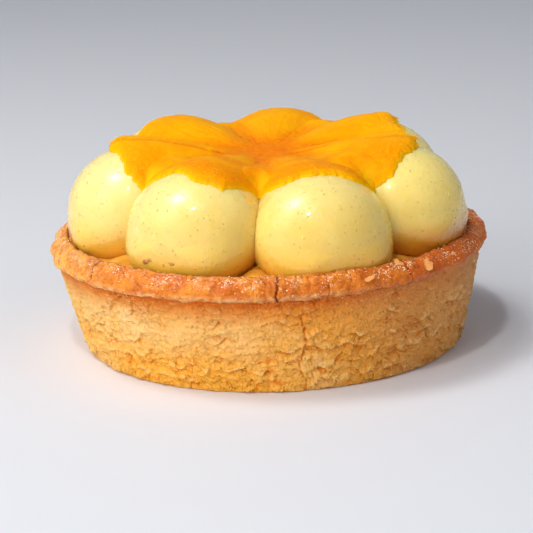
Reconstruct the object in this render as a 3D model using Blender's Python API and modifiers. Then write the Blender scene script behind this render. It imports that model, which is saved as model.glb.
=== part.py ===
"""A small fruit tart: a shortcrust case with a rolled rim, seven piped custard domes pressed side by side in
a ring, and a thin sheet of fruit gel draped over them.

Metres, +Z up. The origin is on the surface that the tart stands on, under the middle of its rim. Bearings
are in degrees, from the front (-Y) round towards +X.
"""

import math
from collections import namedtuple

import bmesh
import bpy
from mathutils import Vector, noise

OBJECT_NAME = "fruit_tart"
GAP = 0.0003                       # air between pieces that touch
WELD = 0.00001                     # merge distance

# Shortcrust case: a flared cup, solid up to a shallow recess that carries the domes.
BASE_RADIUS = 0.0348               # of the flat foot
BASE_SHIFT = 0.0005                # the case flares unevenly, so its foot lies this far to +X of the rim
BASE_ROUNDING = 0.0016
WALL_FOOT_RADIUS = 0.0358          # where the wall starts, above the rounded base edge
WALL_TOP_RADIUS = 0.0398
WALL_BULGE = 0.0002
RIM_RADIUS = 0.0410                # outermost edge of the rolled rim
RIM_EDGE_Z = 0.0190
RIM_CREST_RADIUS = 0.0380
RIM_CREST_Z = 0.0221
RIM_INNER_RADIUS = 0.0373
RIM_INNER_DROP = 0.0005            # the inner edge lies this far under the crest
RIM_ROUNDNESS = 0.7                # 1 lets the rim's top fall on a quarter ellipse, 0 on a straight slant
RIM_TURNS = (25, 50, 72)           # degrees round that ellipse
LIP_TUCK = 0.0004                  # the lip's underside draws in this far
NECK_Z = 0.0179                    # where the lip meets the wall
LIP_SWAY = 0.0006                  # the lip hangs this much lower on the left than in front
REAR_DROP = 0.0010                 # the rim's crest lies this much lower behind than in front
RECESS_RADIUS = 0.0360
RECESS_Z = 0.0170
CASE_SEGMENTS = 150
WALL_RINGS = 7

# Relief of the crust.
RIM_SWAY = 0.00035                 # slow wander of the case in and out
SWAY_TURNS = 1.7
CRAG_SIZE = 0.0042
CRAG_DEPTH = 0.00055
CRUMB_SIZE = 0.0021
CRUMB_DEPTH = 0.00030
PORE_SIZE = 0.0032
LAYER_FLATNESS = 2.2               # pores in the wall are this much wider than high
PORE_LIP = 0.0002                  # the wall stands out no further than this between its pores
CRACK_BEARINGS = (-52, 1.5, 14, 37, 84, 127, 171, 219, 262)
CRACK_WIDTH = 0.0011
CRACK_DEPTH = 0.0007

# Custard: each dome is drawn to a tail at the tart's middle.
Dome = namedtuple("Dome", "bearing ring middle_z radial tangential vertical")
DOMES = (
    Dome(-79.0, 0.0256, 0.0257, 0.0122, 0.0131, 0.0123),
    Dome(-30.0, 0.0256, 0.0263, 0.0118, 0.0130, 0.0112),
    Dome(20.5, 0.0257, 0.0252, 0.0121, 0.0131, 0.0114),
    Dome(66.5, 0.0261, 0.0268, 0.0121, 0.0131, 0.0113),
    Dome(121.0, 0.0250, 0.0264, 0.0117, 0.0134, 0.0114),
    Dome(173.0, 0.0252, 0.0262, 0.0118, 0.0133, 0.0111),
    Dome(227.0, 0.0254, 0.0266, 0.0117, 0.0133, 0.0113),
)
TAIL_TIP = 0.0012                  # the tails stop this far from the middle
TAIL_TOP_Z = 0.0318
TAIL_NARROWING = 0.5               # share of a dome's width that its tail loses by the middle
DOME_SEGMENTS = 24
DOME_RINGS = 12
DOME_WAVE = 0.00018
DOME_WAVE_SIZE = 0.009

# Fruit gel: a thin sheet, thicker where it runs into the furrows between the domes.
SHEET_RADIUS = 0.0298
SHEET_DENTS = (                    # where the sheet stops short: bearing, depth and half width in degrees
    (3.0, 0.0040, 27.0),
    (-53.0, 0.0020, 12.0),
    (-116.0, 0.0016, 36.0),
    (108.0, 0.0024, 40.0),
    (170.0, 0.0012, 40.0),
    (76.0, 0.0020, 14.0),
    (-92.0, 0.0008, 18.0),
)
SHEET_LIFTS = (                    # where its edge stands clear of the domes: bearing, height and half width
    (-92.0, 0.0014, 20.0),
    (78.0, 0.0008, 18.0),
)
SHEET_LIFT_START = 0.6             # share of the reach at which the lifts begin
SHEET_RAGGED = 0.0006
SHEET_MIDDLE = 0.0016              # thickness over most of the sheet
SHEET_EDGE = 0.0006                # thickness at the edge
SHEET_TAPER = 6                    # a larger power keeps the full thickness nearer to the edge
SHEET_SPAN = 0.0135                # how softly the top bridges the furrows
SHEET_SPAN_REACH = 0.020           # distance from the middle where it does so in full
SHEET_FIT = 0.0065                 # how softly the underside follows the furrows
SHEET_FIT_REACH = 0.026
SHEET_TAUT = 0.0006                # softness of both at the middle
SHEET_RINGS = 9
SHEET_SEGMENTS = 84


# ---------------------------------------------------------------- helpers

def ramp(value, low, high):
    """Smooth step from 0 at low to 1 at high."""
    t = min(max((value - low) / (high - low), 0.0), 1.0)
    return t * t * (3.0 - 2.0 * t)


def mix(a, b, share):
    return a + (b - a) * share


def bearing_of(x, y):
    """Bearing of a point in degrees, from -180 to 180."""
    return math.degrees(math.atan2(x, -y))


def turn_between(a, b):
    """Signed difference of two bearings, from -180 to 180."""
    return (a - b + 180.0) % 360.0 - 180.0


def from_bearing(bearing, along, across, z):
    """Point at a distance along a bearing and a distance across it."""
    a = math.radians(bearing)
    x = along * math.sin(a) + across * math.cos(a)
    y = across * math.sin(a) - along * math.cos(a)
    return Vector((x, y, z))


def make_material(name, colour, roughness):
    material = bpy.data.materials.new(name)
    material.use_nodes = True
    shader = material.node_tree.nodes["Principled BSDF"]
    shader.inputs["Base Color"].default_value = (*colour, 1.0)
    shader.inputs["Roughness"].default_value = roughness
    shader.inputs["Metallic"].default_value = 0.0
    return material


def add_piece(name, mesh, collection, material):
    mesh.shade_smooth()
    mesh.materials.clear()
    mesh.materials.append(material)
    piece = bpy.data.objects.new(name, mesh)
    collection.objects.link(piece)
    return piece


def clean(shape):
    """Weld what a shape's moves brought together, and turn its faces outward."""
    bmesh.ops.remove_doubles(shape, verts=shape.verts, dist=WELD)
    bmesh.ops.dissolve_degenerate(shape, edges=shape.edges, dist=WELD)
    bmesh.ops.recalc_face_normals(shape, faces=shape.faces)


def turned_mesh(name, profile, segments):
    """Closed mesh of a profile of (radius, z) points, turned round the Z axis."""
    line = bpy.data.meshes.new(name + "_profile")
    edges = [(i, i + 1) for i in range(len(profile) - 1)]
    line.from_pydata([(radius, 0.0, z) for radius, z in profile], edges, [])
    lathe = bpy.data.objects.new(name + "_profile", line)
    bpy.context.scene.collection.objects.link(lathe)
    screw = lathe.modifiers.new("Turn", "SCREW")
    screw.axis = "Z"
    screw.angle = math.tau
    screw.steps = segments
    screw.render_steps = segments
    screw.use_merge_vertices = True
    screw.merge_threshold = WELD
    mesh = bpy.data.meshes.new_from_object(lathe.evaluated_get(bpy.context.evaluated_depsgraph_get()))
    bpy.data.objects.remove(lathe)
    mesh.name = name
    shape = bmesh.new()
    shape.from_mesh(mesh)
    clean(shape)
    shape.to_mesh(mesh)
    shape.free()
    return mesh


# ---------------------------------------------------------------- shortcrust case

def case_profile():
    """Outline of the case from the middle of its recess, over the rim and down the outside to the base."""
    points = [
        (0.0, RECESS_Z),
        (RECESS_RADIUS * 0.55, RECESS_Z),
        (RECESS_RADIUS, RECESS_Z),
        (mix(RECESS_RADIUS, RIM_INNER_RADIUS, 0.5), mix(RECESS_Z, RIM_CREST_Z, 0.45)),
        (RIM_INNER_RADIUS, RIM_CREST_Z - RIM_INNER_DROP),
        (RIM_CREST_RADIUS, RIM_CREST_Z),
    ]
    for turn in RIM_TURNS:
        out = mix(turn / 90.0, math.sin(math.radians(turn)), RIM_ROUNDNESS)
        fall = mix(turn / 90.0, 1.0 - math.cos(math.radians(turn)), RIM_ROUNDNESS)
        points.append((mix(RIM_CREST_RADIUS, RIM_RADIUS, out), mix(RIM_CREST_Z, RIM_EDGE_Z, fall)))
    points.append((RIM_RADIUS, RIM_EDGE_Z))
    points.append((RIM_RADIUS - LIP_TUCK, mix(RIM_EDGE_Z, NECK_Z, 0.6)))
    for ring in range(WALL_RINGS + 1):
        t = ring / WALL_RINGS
        radius = mix(WALL_TOP_RADIUS, WALL_FOOT_RADIUS, t) + WALL_BULGE * math.sin(math.pi * t)
        points.append((radius, mix(NECK_Z, BASE_ROUNDING, t)))
    points.append((mix(BASE_RADIUS, WALL_FOOT_RADIUS, 0.6), 0.3 * BASE_ROUNDING))
    points += [(BASE_RADIUS, 0.0), (BASE_RADIUS * 0.55, 0.0), (0.0, 0.0)]
    return points


def crack_at(bearing, radius):
    """Depth share of the cracks across the rim, from 0 to 1."""
    nearest = min(abs(turn_between(bearing, crack)) for crack in CRACK_BEARINGS)
    return 1.0 - ramp(math.radians(nearest) * radius, 0.0, CRACK_WIDTH)


def crust_relief(point, bearing, radius):
    """How far the crust stands out or in: crags and cracks on the rim, layered pores in the wall."""
    on_rim = ramp(point.z, NECK_Z - 0.0010, NECK_Z + 0.0006)
    crags = CRAG_DEPTH * noise.noise(point / CRAG_SIZE)
    crumbs = CRUMB_DEPTH * noise.noise(point / CRUMB_SIZE + Vector((7.0, 3.0, 1.0)))
    layered = Vector((point.x, point.y, point.z * LAYER_FLATNESS))
    pores = min(CRAG_DEPTH * noise.noise(layered / PORE_SIZE), PORE_LIP)
    rim = (crags + crumbs - CRACK_DEPTH * crack_at(bearing, radius))
    rim *= ramp(radius, RIM_INNER_RADIUS, RIM_CREST_RADIUS)
    return mix(pores + 0.6 * crumbs, rim, on_rim)


def case_move(point, normal):
    """Move of a point of the turned case: its lean, wander and relief."""
    radius = math.hypot(point.x, point.y)
    bearing = bearing_of(point.x, point.y)
    out = Vector((point.x, point.y, 0.0)).normalized()
    above_base = ramp(point.z, 0.0, 0.3 * BASE_ROUNDING)
    move = normal * (crust_relief(point, bearing, radius) * above_base)
    move += out * (noise.noise(out * SWAY_TURNS) * RIM_SWAY * ramp(point.z, 0.0, NECK_Z))
    lip = ramp(point.z, mix(0.0, NECK_Z, 0.66), NECK_Z) * (1.0 - ramp(point.z, RIM_EDGE_Z, RIM_CREST_Z))
    move.z += LIP_SWAY * math.sin(math.radians(bearing)) * lip
    rear = 0.5 - 0.5 * math.cos(math.radians(bearing))
    move.z -= REAR_DROP * rear * ramp(point.z, RECESS_Z, RIM_CREST_Z)
    return move


def build_case(collection):
    """The turned case, made uneven; its foot and the floor of its recess stay flat."""
    mesh = turned_mesh("crust", case_profile(), CASE_SEGMENTS)
    starts = [(vertex.co.copy(), vertex.normal.copy()) for vertex in mesh.vertices]
    for vertex, (point, normal) in zip(mesh.vertices, starts):
        floor = abs(point.z - RECESS_Z) < WELD
        if floor and math.hypot(point.x, point.y) < RECESS_RADIUS + WELD:
            continue
        if point.z > WELD:
            vertex.co = point + case_move(point, normal)
        vertex.co.x += BASE_SHIFT * max(1.0 - point.z / RIM_EDGE_Z, 0.0)
        vertex.co.z = max(vertex.co.z, 0.0)
    return add_piece("crust", mesh, collection, make_material("shortcrust", (0.62, 0.33, 0.12), 0.7))


# ---------------------------------------------------------------- custard domes

def tail_top(dome, along):
    """Height of a dome's ridge at a distance along its bearing, from the tart's middle to the dome's top."""
    rise = math.sin(0.5 * math.pi * min(max(along / dome.ring, 0.0), 1.0))
    return mix(TAIL_TOP_Z, dome.middle_z + dome.vertical, rise)


def half_width(dome, along):
    """Half width of a dome across its bearing, which its tail loses by and by."""
    inward = 1.0 - min(max(along / dome.ring, 0.0), 1.0)
    return dome.tangential * (1.0 - TAIL_NARROWING * inward)


def dome_point(dome, ball_point, left_turn, right_turn):
    """Carry a point of the unit ball, whose poles lie along the bearing, to the dome and its tail."""
    around = math.hypot(ball_point.x, ball_point.y)
    sideways = ball_point.x / around if around > WELD else 0.0
    upward = ball_point.y / around if around > WELD else 0.0
    outward = ball_point.z
    if outward >= 0.0:
        along = dome.ring + dome.radial * outward
        spread = around
    else:
        back = 1.0 - math.acos(min(-outward, 1.0)) / (0.5 * math.pi)
        along = mix(dome.ring, TAIL_TIP, back)
        spread = (1.0 - back ** 4) ** 0.25
    across = half_width(dome, along) * spread * sideways
    z = tail_top(dome, along) + dome.vertical * (spread * upward - 1.0)
    ripple = Vector((along, across, z)) / DOME_WAVE_SIZE + Vector((dome.bearing, 0.0, 0.0))
    wave = DOME_WAVE * (noise.noise(ripple) - 1.0)
    along += wave * max(outward, 0.0)
    across *= 1.0 + wave / dome.tangential
    right_limit = along * math.tan(right_turn) - 0.5 * GAP / math.cos(right_turn)
    left_limit = along * math.tan(left_turn) - 0.5 * GAP / math.cos(left_turn)
    across = min(max(across, -left_limit), right_limit)
    return from_bearing(dome.bearing, along, across, max(z, RECESS_Z + GAP))


def build_dome(number, collection, material):
    """One piped dome with a flat foot, pressed flat against both neighbours."""
    dome = DOMES[number]
    left_turn = 0.5 * math.radians(turn_between(dome.bearing, DOMES[number - 1].bearing))
    right_turn = 0.5 * math.radians(turn_between(DOMES[(number + 1) % len(DOMES)].bearing, dome.bearing))
    shape = bmesh.new()
    bmesh.ops.create_uvsphere(shape, u_segments=DOME_SEGMENTS, v_segments=DOME_RINGS, radius=1.0)
    for vertex in shape.verts:
        vertex.co = dome_point(dome, vertex.co.copy(), left_turn, right_turn)
    clean(shape)
    name = f"custard_dome_{number + 1}"
    mesh = bpy.data.meshes.new(name)
    shape.to_mesh(mesh)
    shape.free()
    return add_piece(name, mesh, collection, material)


# ---------------------------------------------------------------- fruit gel sheet

def dome_height(dome, x, y):
    """Height of a dome's upper surface over a point, or of its middle where the point is beside it."""
    a = math.radians(dome.bearing)
    along = x * math.sin(a) - y * math.cos(a)
    across = x * math.cos(a) + y * math.sin(a)
    beyond = max(along - dome.ring, -along, 0.0) / dome.radial
    inside = 1.0 - beyond ** 2 - (across / half_width(dome, along)) ** 2
    return tail_top(dome, along) + dome.vertical * (math.sqrt(max(inside, 0.0)) - 1.0)


def drape(x, y, softness):
    """Height of a skin laid over the domes; a larger softness bridges their furrows higher up."""
    heights = sorted((dome_height(dome, x, y) for dome in DOMES), reverse=True)
    spare = max(softness - (heights[0] - heights[1]), 0.0)
    return heights[0] + spare * spare / (4.0 * softness)


def swell(bearing, places):
    """Sum of the smooth bumps at a bearing, each given by its bearing, height and half width."""
    return sum(height * (1.0 - ramp(abs(turn_between(bearing, middle)), 0.0, half_turn))
               for middle, height, half_turn in places)


def sheet_reach(bearing):
    """Distance from the middle to the sheet's ragged edge."""
    a = math.radians(bearing)
    ragged = noise.noise(Vector((math.sin(a), math.cos(a), 0.3)) * 6.0)
    ragged += 0.5 * noise.noise(Vector((math.sin(a), math.cos(a), 0.7)) * 13.0)
    return SHEET_RADIUS - swell(bearing, SHEET_DENTS) + SHEET_RAGGED * ragged


def sheet_underside(spot):
    softness = max(SHEET_FIT * min(spot.length / SHEET_FIT_REACH, 1.0) ** 2, SHEET_TAUT)
    return drape(spot.x, spot.y, softness) + GAP


def sheet_top(spot, share):
    """Height of the sheet's upper face; share runs from 0 at the middle to 1 at the edge."""
    softness = max(SHEET_SPAN * min(spot.length / SHEET_SPAN_REACH, 1.0) ** 2.5, SHEET_TAUT)
    return drape(spot.x, spot.y, softness) + GAP + mix(SHEET_MIDDLE, SHEET_EDGE, share ** SHEET_TAPER)


def sheet_lift(bearing, share):
    """How far the sheet stands up from the domes towards its edge."""
    return swell(bearing, SHEET_LIFTS) * ramp(share, SHEET_LIFT_START, 1.0)


def build_sheet(collection):
    """A disc with upper and lower faces split alike, carried onto the domes."""
    steps = [(ring + 1) / SHEET_RINGS for ring in range(SHEET_RINGS)]
    profile = [(0.0, 1.0)] + [(step, 1.0) for step in steps]
    profile += [(step, 0.0) for step in reversed(steps)] + [(0.0, 0.0)]
    mesh = turned_mesh("fruit_gel_sheet", profile, SHEET_SEGMENTS)
    for vertex in mesh.vertices:
        share = min(math.hypot(vertex.co.x, vertex.co.y), 1.0)
        bearing = bearing_of(vertex.co.x, vertex.co.y)
        spot = from_bearing(bearing, share * sheet_reach(bearing), 0.0, 0.0)
        z = sheet_top(spot, share) if vertex.co.z > 0.5 else sheet_underside(spot)
        vertex.co = (spot.x, spot.y, z + sheet_lift(bearing, share))
    gel = make_material("fruit_gel", (0.90, 0.38, 0.02), 0.25)
    return add_piece("fruit_gel_sheet", mesh, collection, gel)


def main():
    for old in list(bpy.data.objects):
        bpy.data.objects.remove(old, do_unlink=True)
    collection = bpy.data.collections.new(OBJECT_NAME)
    bpy.context.scene.collection.children.link(collection)
    build_case(collection)
    custard = make_material("custard", (0.90, 0.72, 0.28), 0.3)
    for number in range(len(DOMES)):
        build_dome(number, collection, custard)
    build_sheet(collection)


main()
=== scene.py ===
import math
from collections import namedtuple

import bmesh
import bpy
import numpy as np
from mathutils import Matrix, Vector, noise
from mathutils.bvhtree import BVHTree


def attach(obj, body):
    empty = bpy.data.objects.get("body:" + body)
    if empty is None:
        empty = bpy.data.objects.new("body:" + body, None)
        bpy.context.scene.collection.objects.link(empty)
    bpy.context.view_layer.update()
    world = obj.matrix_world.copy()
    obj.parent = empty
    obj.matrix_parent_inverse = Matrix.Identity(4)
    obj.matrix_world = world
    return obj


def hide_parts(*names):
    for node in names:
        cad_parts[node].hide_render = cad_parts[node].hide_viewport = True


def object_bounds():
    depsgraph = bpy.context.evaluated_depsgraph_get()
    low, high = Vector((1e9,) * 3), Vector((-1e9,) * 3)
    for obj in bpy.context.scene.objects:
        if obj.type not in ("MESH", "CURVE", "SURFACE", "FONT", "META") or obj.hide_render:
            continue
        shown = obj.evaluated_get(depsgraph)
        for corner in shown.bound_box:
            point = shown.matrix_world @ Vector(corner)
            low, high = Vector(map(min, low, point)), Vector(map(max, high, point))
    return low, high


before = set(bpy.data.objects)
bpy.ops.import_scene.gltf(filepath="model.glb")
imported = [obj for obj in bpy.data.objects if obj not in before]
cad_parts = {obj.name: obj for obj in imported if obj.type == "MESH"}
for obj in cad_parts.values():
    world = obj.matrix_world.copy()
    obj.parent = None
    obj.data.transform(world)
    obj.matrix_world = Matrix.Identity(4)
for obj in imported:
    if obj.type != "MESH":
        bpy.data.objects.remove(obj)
cad_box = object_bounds()

# Looks of the fruit tart: crumbly shortcrust, glossy custard domes and a sheet of fruit gel. Metres, +Z up.
# Bearings are in degrees, from the front (-Y) round towards +X. The sizes are those of the solids.

# Shortcrust case.
BASE_RADIUS = 0.0348
BASE_SHIFT = 0.0005
BASE_ROUNDING = 0.0016
WALL_FOOT_RADIUS = 0.0358
WALL_TOP_RADIUS = 0.0398
WALL_BULGE = 0.0002
RIM_RADIUS = 0.041
RIM_EDGE_Z = 0.019
RIM_CREST_RADIUS = 0.038
RIM_CREST_Z = 0.0221
RIM_INNER_RADIUS = 0.0373
RIM_INNER_DROP = 0.0005
RIM_ROUNDNESS = 0.7
LIP_TUCK = 0.0004
NECK_Z = 0.0179
LIP_SWAY = 0.0006
REAR_DROP = 0.001
RECESS_RADIUS = 0.036
RECESS_Z = 0.017
RIM_SWAY = 0.00035
SWAY_TURNS = 1.7
CRAG_SIZE = 0.0042
CRAG_DEPTH = 0.00055
CRUMB_SIZE = 0.0021
CRUMB_DEPTH = 0.0003
PORE_SIZE = 0.0032
LAYER_FLATNESS = 2.2
PORE_LIP = 0.0002
CRACK_BEARINGS = (-52, 1.5, 14, 37, 84, 127, 171, 219, 262)

# Custard domes.
Dome = namedtuple("Dome", "bearing ring middle_z radial tangential vertical")
DOMES = (
    Dome(-79.0, 0.0256, 0.0257, 0.0122, 0.0131, 0.0123),
    Dome(-30.0, 0.0256, 0.0263, 0.0118, 0.013, 0.0112),
    Dome(20.5, 0.0257, 0.0252, 0.0121, 0.0131, 0.0114),
    Dome(66.5, 0.0261, 0.0268, 0.0121, 0.0131, 0.0113),
    Dome(121.0, 0.025, 0.0264, 0.0117, 0.0134, 0.0114),
    Dome(173.0, 0.0252, 0.0262, 0.0118, 0.0133, 0.0111),
    Dome(227.0, 0.0254, 0.0266, 0.0117, 0.0133, 0.0113),
)
TAIL_TIP = 0.0012
TAIL_TOP_Z = 0.0318
TAIL_NARROWING = 0.5
DOME_WAVE = 0.00018
DOME_WAVE_SIZE = 0.009

# Fruit gel sheet: lists of (bearing, size, half width in degrees).
SHEET_RADIUS = 0.0298
SHEET_DENTS = (
    (3.0, 0.004, 27), (-53, 0.002, 12), (-116, 0.0016, 36), (108, 0.0024, 40),
    (170, 0.0012, 40), (76, 0.002, 14), (-92, 0.0008, 18),
)
SHEET_LIFTS = (
    (-92, 0.0014, 20), (78, 0.0008, 18),
)
SHEET_LIFT_START = 0.6
SHEET_RAGGED = 0.0006
SHEET_MIDDLE = 0.0016
SHEET_EDGE = 0.0006
SHEET_TAPER = 6
SHEET_SPAN = 0.0135
SHEET_SPAN_REACH = 0.02
SHEET_TAUT = 0.0006


# ---- helpers

def ramp(value, low, high):
    """Smooth step from 0 at low to 1 at high."""
    t = np.clip((value - low) / (high - low), 0.0, 1.0)
    return t * t * (3.0 - 2.0 * t)


def mix(a, b, share):
    return a + (b - a) * share


def soft_min(a, b, softness):
    spare = np.maximum(softness - np.abs(a - b), 0.0)
    return np.minimum(a, b) - spare * spare / (4.0 * softness)


def soft_max(a, b, softness):
    return -soft_min(-a, -b, softness)


def turn_between(a, b):
    """Signed difference of two bearings, from -180 to 180."""
    return (a - b + 180.0) % 360.0 - 180.0


def bearing_of(points):
    return np.degrees(np.arctan2(points[..., 0], -points[..., 1]))


def around(bearing, radius, z=0.0):
    """Point at a bearing and distance from the middle."""
    a = np.radians(bearing)
    return np.stack(np.broadcast_arrays(radius * np.sin(a), -radius * np.cos(a), z), axis=-1)


def noise_at(points, size, offset=0.0):
    """Smooth noise from about -1 to 1 at an array of points."""
    places = (points / size + offset).reshape(-1, 3)
    values = np.fromiter((noise.noise(place) for place in places.tolist()), float, len(places))
    return values.reshape(points.shape[:-1])


def noise_sum(points, layers, start=0.0):
    """Noise of several sizes on top of start; a layer is its height, size and offset."""
    return sum((height * noise_at(points, size, offset) for height, size, offset in layers), start)


Cells = namedtuple("Cells", "near margin share rise")


def cells_at(points, size, offset=0.0):
    """Scattered cells: distance to the nearest middle, how much further the second is, a random share of
    the cell, and the height above its middle, all in cell sizes."""
    places = (points / size + offset).reshape(-1, 3)
    rows = []
    for place in places.tolist():
        distances, middles = noise.voronoi(place)
        middle = middles[0]
        share = math.sin(middle.x * 12.9 + middle.y * 78.2 + middle.z * 37.7) * 43758.5 % 1.0
        rows.append((distances[0], distances[1] - distances[0], share, place[2] - middle.z))
    return Cells(*np.moveaxis(np.array(rows).reshape(*points.shape[:-1], 4), -1, 0))


def warp(points, size, reach):
    """Points pushed about by noise."""
    return points + reach * np.stack([noise_at(points, size, shift) for shift in (11.0, 17.0, 23.0)], axis=-1)


def line_share(distance, width):
    """1 on a line, falling to 0 at its half width."""
    return 1.0 - ramp(np.abs(distance), 0.0, width)


def keep_inside(points):
    """Hold points within the solids' box."""
    low, high = np.array(cad_box[0]), np.array(cad_box[1])
    return np.clip(points, low + 1e-6, high - 1e-6)


def add_object(name, data):
    thing = bpy.data.objects.new(name, data)
    bpy.context.scene.collection.objects.link(thing)
    return thing


def add_piece(name, mesh, material, slot, *nodes):
    piece = add_object(name, mesh)
    mesh.materials.append(material)
    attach(piece, "root")
    if nodes:
        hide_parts(*nodes)
    return piece


def add_closed(name, grid, attributes, *looks):
    """Piece of a grid whose rows are closed rings; a fan of faces shuts each end."""
    rings, segments = grid.shape[:2]
    index = np.arange(rings * segments).reshape(rings, segments)
    turned = np.roll(index, -1, axis=1)
    quads = np.stack([index[:-1], index[1:], turned[1:], turned[:-1]], axis=-1).reshape(-1, 4)
    first, last = index.size, index.size + 1
    points = np.vstack([grid.reshape(-1, 3), grid[0].mean(axis=0), grid[-1].mean(axis=0)])
    faces = quads.tolist()
    faces += [(first, a, b) for a, b in zip(index[0].tolist(), turned[0].tolist())]
    faces += [(last, b, a) for a, b in zip(index[-1].tolist(), turned[-1].tolist())]
    one, two, three = (points[quads[:, corner]] for corner in (0, 1, 2))
    if np.sum(one * np.cross(two, three)) < 0.0:
        faces = [face[::-1] for face in faces]
    mesh = bpy.data.meshes.new(name)
    mesh.from_pydata(points.tolist(), [], faces)
    for key, values in attributes.items():
        flat = np.concatenate([values.reshape(-1), [values[0].mean(), values[-1].mean()]])
        mesh.attributes.new(key, "FLOAT", "POINT").data.foreach_set("value", flat.astype(np.float32))
    mesh.shade_smooth()
    mesh.update()
    return add_piece(name, mesh, *looks)


def search_tree(*pieces):
    """Tree for finding where a ray meets the pieces."""
    points, faces = [], []
    for piece in pieces:
        first = len(points)
        points += [vertex.co.copy() for vertex in piece.data.vertices]
        faces += [[first + corner for corner in face.vertices] for face in piece.data.polygons]
    return BVHTree.FromPolygons(points, faces)


def hits(tree, starts, directions):
    """Where rays meet the surface, with its normal there; a ray that misses is left out."""
    found = []
    for start, direction in zip(starts, directions):
        place, normal, _, _ = tree.ray_cast(Vector(start), Vector(direction))
        if place is not None:
            found.append((place, normal if normal.dot(Vector(direction)) < 0.0 else -normal))
    return found


def lump_shape(detail):
    """Points and faces of a unit ball of triangles."""
    shape = bmesh.new()
    bmesh.ops.create_icosphere(shape, subdivisions=detail, radius=1.0)
    points = np.array([vertex.co[:] for vertex in shape.verts])
    faces = np.array([[vertex.index for vertex in face.verts] for face in shape.faces])
    shape.free()
    return points, faces


def add_lumps(name, slot, material, rng, places, sizes, detail, roughness, sunk, smooth=True):
    """Piece of lumps that lie on a surface. Each place is a point and a normal, each size a lump's half
    length, half width and half height; sunk is the share of the height that lies in the surface."""
    ball, ball_faces = lump_shape(detail)
    points, faces = [], []
    for number, ((place, normal), size) in enumerate(zip(places, sizes)):
        bumps = 1.0 + roughness * noise_at(ball * 1.3, 1.0, 10.0 * number)[:, None]
        shape = ball * bumps * size
        shape[:, 2] += size[2] * (1.0 - 2.0 * sunk)
        spin = rng.uniform(0.0, math.tau)
        across = normal.orthogonal().normalized()
        along = normal.cross(across)
        first_axis = math.cos(spin) * np.array(across) + math.sin(spin) * np.array(along)
        second_axis = np.cross(np.array(normal), first_axis)
        axes = np.stack([first_axis, second_axis, np.array(normal)])
        faces.append(ball_faces + number * len(ball))
        points.append(shape @ axes + np.array(place))
    points = keep_inside(np.concatenate(points))
    mesh = bpy.data.meshes.new(name)
    mesh.from_pydata(points.tolist(), [], np.concatenate(faces).tolist())
    if smooth:
        mesh.shade_smooth()
    mesh.update()
    return add_piece(name, mesh, material, slot)


def scaled(lengths, *shares):
    """Sizes of lumps in proportion to their lengths."""
    return [tuple(share * length for share in shares) for length in lengths]


# ---- materials

class Nodes:
    """Builds the node tree of a new material or world with short calls."""

    def __init__(self, name, kind="materials", shader="Principled BSDF", place="Object"):
        self.owner = getattr(bpy.data, kind).new(name)
        self.owner.use_nodes = True
        self.tree = self.owner.node_tree
        self.shader = self.tree.nodes[shader]
        self.place = self.add("TexCoord", place)

    def add(self, kind, output, inputs=None, **settings):
        """An output of a new node; each of its inputs gets a value or another node's output."""
        node = self.tree.nodes.new("ShaderNode" + kind)
        for key, value in settings.items():
            setattr(node, key, value)
        for key, source in (inputs or {}).items():
            self.join(source, node.inputs[key])
        return node.outputs[output]

    def join(self, source, target):
        if hasattr(source, "links"):
            self.tree.links.new(source, target)
        else:
            target.default_value = source

    def warped(self, size, reach, stretch=(1, 1, 1)):
        """The place pushed about by noise, then stretched."""
        wave = self.add("TexNoise", "Color", {"Scale": 1.0 / size, "Vector": self.place})
        inputs = {0: wave, 1: (reach, reach, reach), 2: self.place}
        pushed = self.add("VectorMath", "Vector", inputs, operation="MULTIPLY_ADD")
        return self.add("VectorMath", "Vector", {0: pushed, 1: stretch}, operation="MULTIPLY")

    def noise(self, size, detail=2.0, roughness=0.5, shift=(0, 0, 0)):
        place = self.add("Mapping", "Vector", {"Location": shift, "Vector": self.place})
        inputs = {"Scale": 1.0 / size, "Detail": detail, "Roughness": roughness, "Vector": place}
        return self.add("TexNoise", "Fac", inputs)

    def cells(self, size, place=None, feature="F1", output="Distance"):
        inputs = {"Scale": 1.0 / size, "Vector": place or self.place}
        return self.add("TexVoronoi", output, inputs, feature=feature)

    def span(self, value, low, high, end=1.0, start=0.0):
        """Carry low..high of a value to start..end, smoothly."""
        inputs = {"Value": value, "From Min": low, "From Max": high, "To Min": start, "To Max": end}
        return self.add("MapRange", "Result", inputs, interpolation_type="SMOOTHSTEP")

    def math(self, operation, a, b):
        return self.add("Math", "Value", {0: a, 1: b}, operation=operation)

    def times(self, a, b):
        return self.math("MULTIPLY", a, b)

    def attribute(self, name):
        return self.add("Attribute", "Fac", attribute_name=name)

    def axis(self, name):
        return self.add("SeparateXYZ", name, {"Vector": self.place})

    def blend(self, share, a, b, mode="MIX"):
        a, b = (source if hasattr(source, "links") else (*source, 1.0) for source in (a, b))
        return self.add("Mix", 2, {0: share, 6: a, 7: b}, data_type="RGBA", blend_type=mode)

    def layered(self, colour, *layers):
        """A colour with tints over it; a layer is its share and tint, and how it blends if not by mixing."""
        for share, tint, *mode in layers:
            colour = self.blend(share, colour, tint, *mode)
        return colour

    def bump(self, height, depth, below=None, strength=1.0):
        inputs = {"Distance": depth, "Strength": strength, "Height": height}
        if below is not None:
            inputs["Normal"] = below
        return self.add("Bump", "Normal", inputs)

    def skin(self, *layers):
        """Bumps over each other; a layer is its height and depth, and its strength if not 1."""
        normal = None
        for height, depth, *strength in layers:
            normal = self.bump(height, depth, normal, *strength)
        return normal

    def set(self, **values):
        for key, value in values.items():
            self.join(value, self.shader.inputs[key.replace("_", " ")])


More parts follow.
